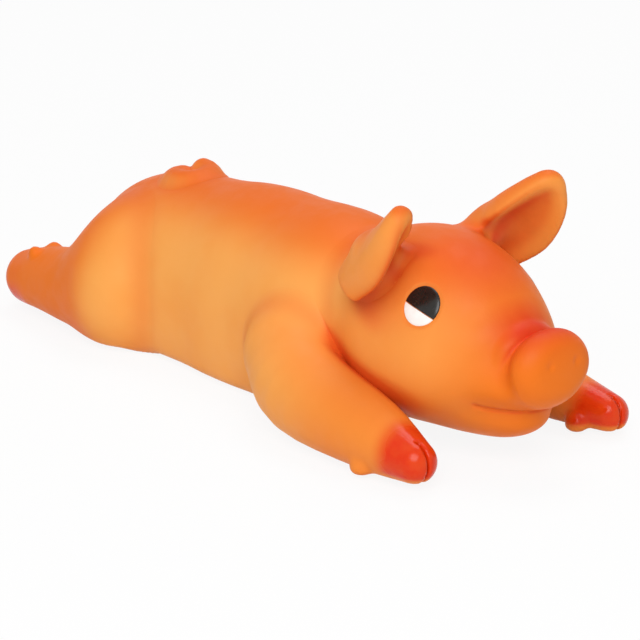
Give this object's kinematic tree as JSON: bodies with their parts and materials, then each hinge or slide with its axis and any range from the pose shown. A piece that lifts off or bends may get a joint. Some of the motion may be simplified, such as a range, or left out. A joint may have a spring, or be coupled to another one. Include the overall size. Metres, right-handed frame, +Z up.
{
  "type": "rubber pig dog toy",
  "caption": "Soft latex pig lying on its belly with legs stretched out, stuffed and fitted with a belly squeaker; head, ears and legs flex and its back presses in.",
  "frame": {"origin": "centre of the footprint, on the surface the belly lies on", "axes": "+X forward to the snout, +Y to the pig's left, +Z up"},
  "size_m": [0.1506, 0.0596, 0.0496],
  "materials": {
    "latex_skin": "satin latex, airbrushed",
    "latex_limb": "satin latex, red hooves",
    "latex_ear": "satin latex, red inside",
    "wadding": "loose polyester wadding",
    "squeaker_plastic": "moulded",
    "reed_metal": "rolled strip",
    "eye_white": "gloss paint",
    "eye_black": "gloss paint"
  },
  "bodies": {
    "torso": {"torso_skin": "latex_skin", "tail": "latex_skin", "body_fill": "wadding", "squeaker_housing": "squeaker_plastic", "squeaker_cap": "squeaker_plastic", "reed_block": "squeaker_plastic", "reed_clamp": "squeaker_plastic", "reed": "reed_metal"},
    "back": {"back_skin": "latex_skin"},
    "head": {"head_skin": "latex_skin", "head_fill": "wadding", "eye_left_white": "eye_white", "eye_left_black": "eye_black", "eye_right_white": "eye_white", "eye_right_black": "eye_black"},
    "ear_left": {"ear_left": "latex_ear"},
    "ear_right": {"ear_right": "latex_ear"},
    "front_leg_left": {"front_leg_left": "latex_limb"},
    "front_leg_right": {"front_leg_right": "latex_limb"},
    "rear_leg_left": {"rear_leg_left": "latex_limb"},
    "rear_leg_right": {"rear_leg_right": "latex_limb"}
  },
  "joints": [
    {"name": "head_nod", "type": "hinge", "parent": "torso", "child": "head", "pos_m": [0.01167, 0, 0.017], "axis": [0, -1, 0], "range_deg": [-4, 12], "stiffness_Nm_per_rad": 0.6},
    {"name": "ear_left_flex", "type": "hinge", "parent": "head", "child": "ear_left", "pos_m": [0.03511, 0.01318, 0.03447], "axis": [-0.6389, -0.5934, 0.4896], "range_deg": [-10, 30], "stiffness_Nm_per_rad": 0.006},
    {"name": "ear_right_flex", "type": "hinge", "parent": "head", "child": "ear_right", "pos_m": [0.03511, -0.01318, 0.03447], "axis": [0.6389, -0.5934, -0.4896], "range_deg": [-10, 30], "stiffness_Nm_per_rad": 0.006},
    {"name": "front_leg_left_splay", "type": "hinge", "parent": "torso", "child": "front_leg_left", "pos_m": [0.01167, 0.016, 0.012], "axis": [0, 0, 1], "range_deg": [0, 20], "stiffness_Nm_per_rad": 0.06},
    {"name": "front_leg_right_splay", "type": "hinge", "parent": "torso", "child": "front_leg_right", "pos_m": [0.01167, -0.016, 0.012], "axis": [0, 0, -1], "range_deg": [0, 20], "stiffness_Nm_per_rad": 0.06},
    {"name": "rear_leg_left_splay", "type": "hinge", "parent": "torso", "child": "rear_leg_left", "pos_m": [-0.04133, 0.0129, 0.0115], "axis": [0, 0, -1], "range_deg": [0, 20], "stiffness_Nm_per_rad": 0.06},
    {"name": "rear_leg_right_splay", "type": "hinge", "parent": "torso", "child": "rear_leg_right", "pos_m": [-0.04133, -0.0129, 0.0115], "axis": [0, 0, 1], "range_deg": [0, 20], "stiffness_Nm_per_rad": 0.06},
    {"name": "back_squeeze", "type": "slide", "parent": "torso", "child": "back", "axis": [0, 0, -1], "range_m": [0, 0.008], "stiffness_N_per_m": 400, "deforming": ["body_fill"]}
  ]
}
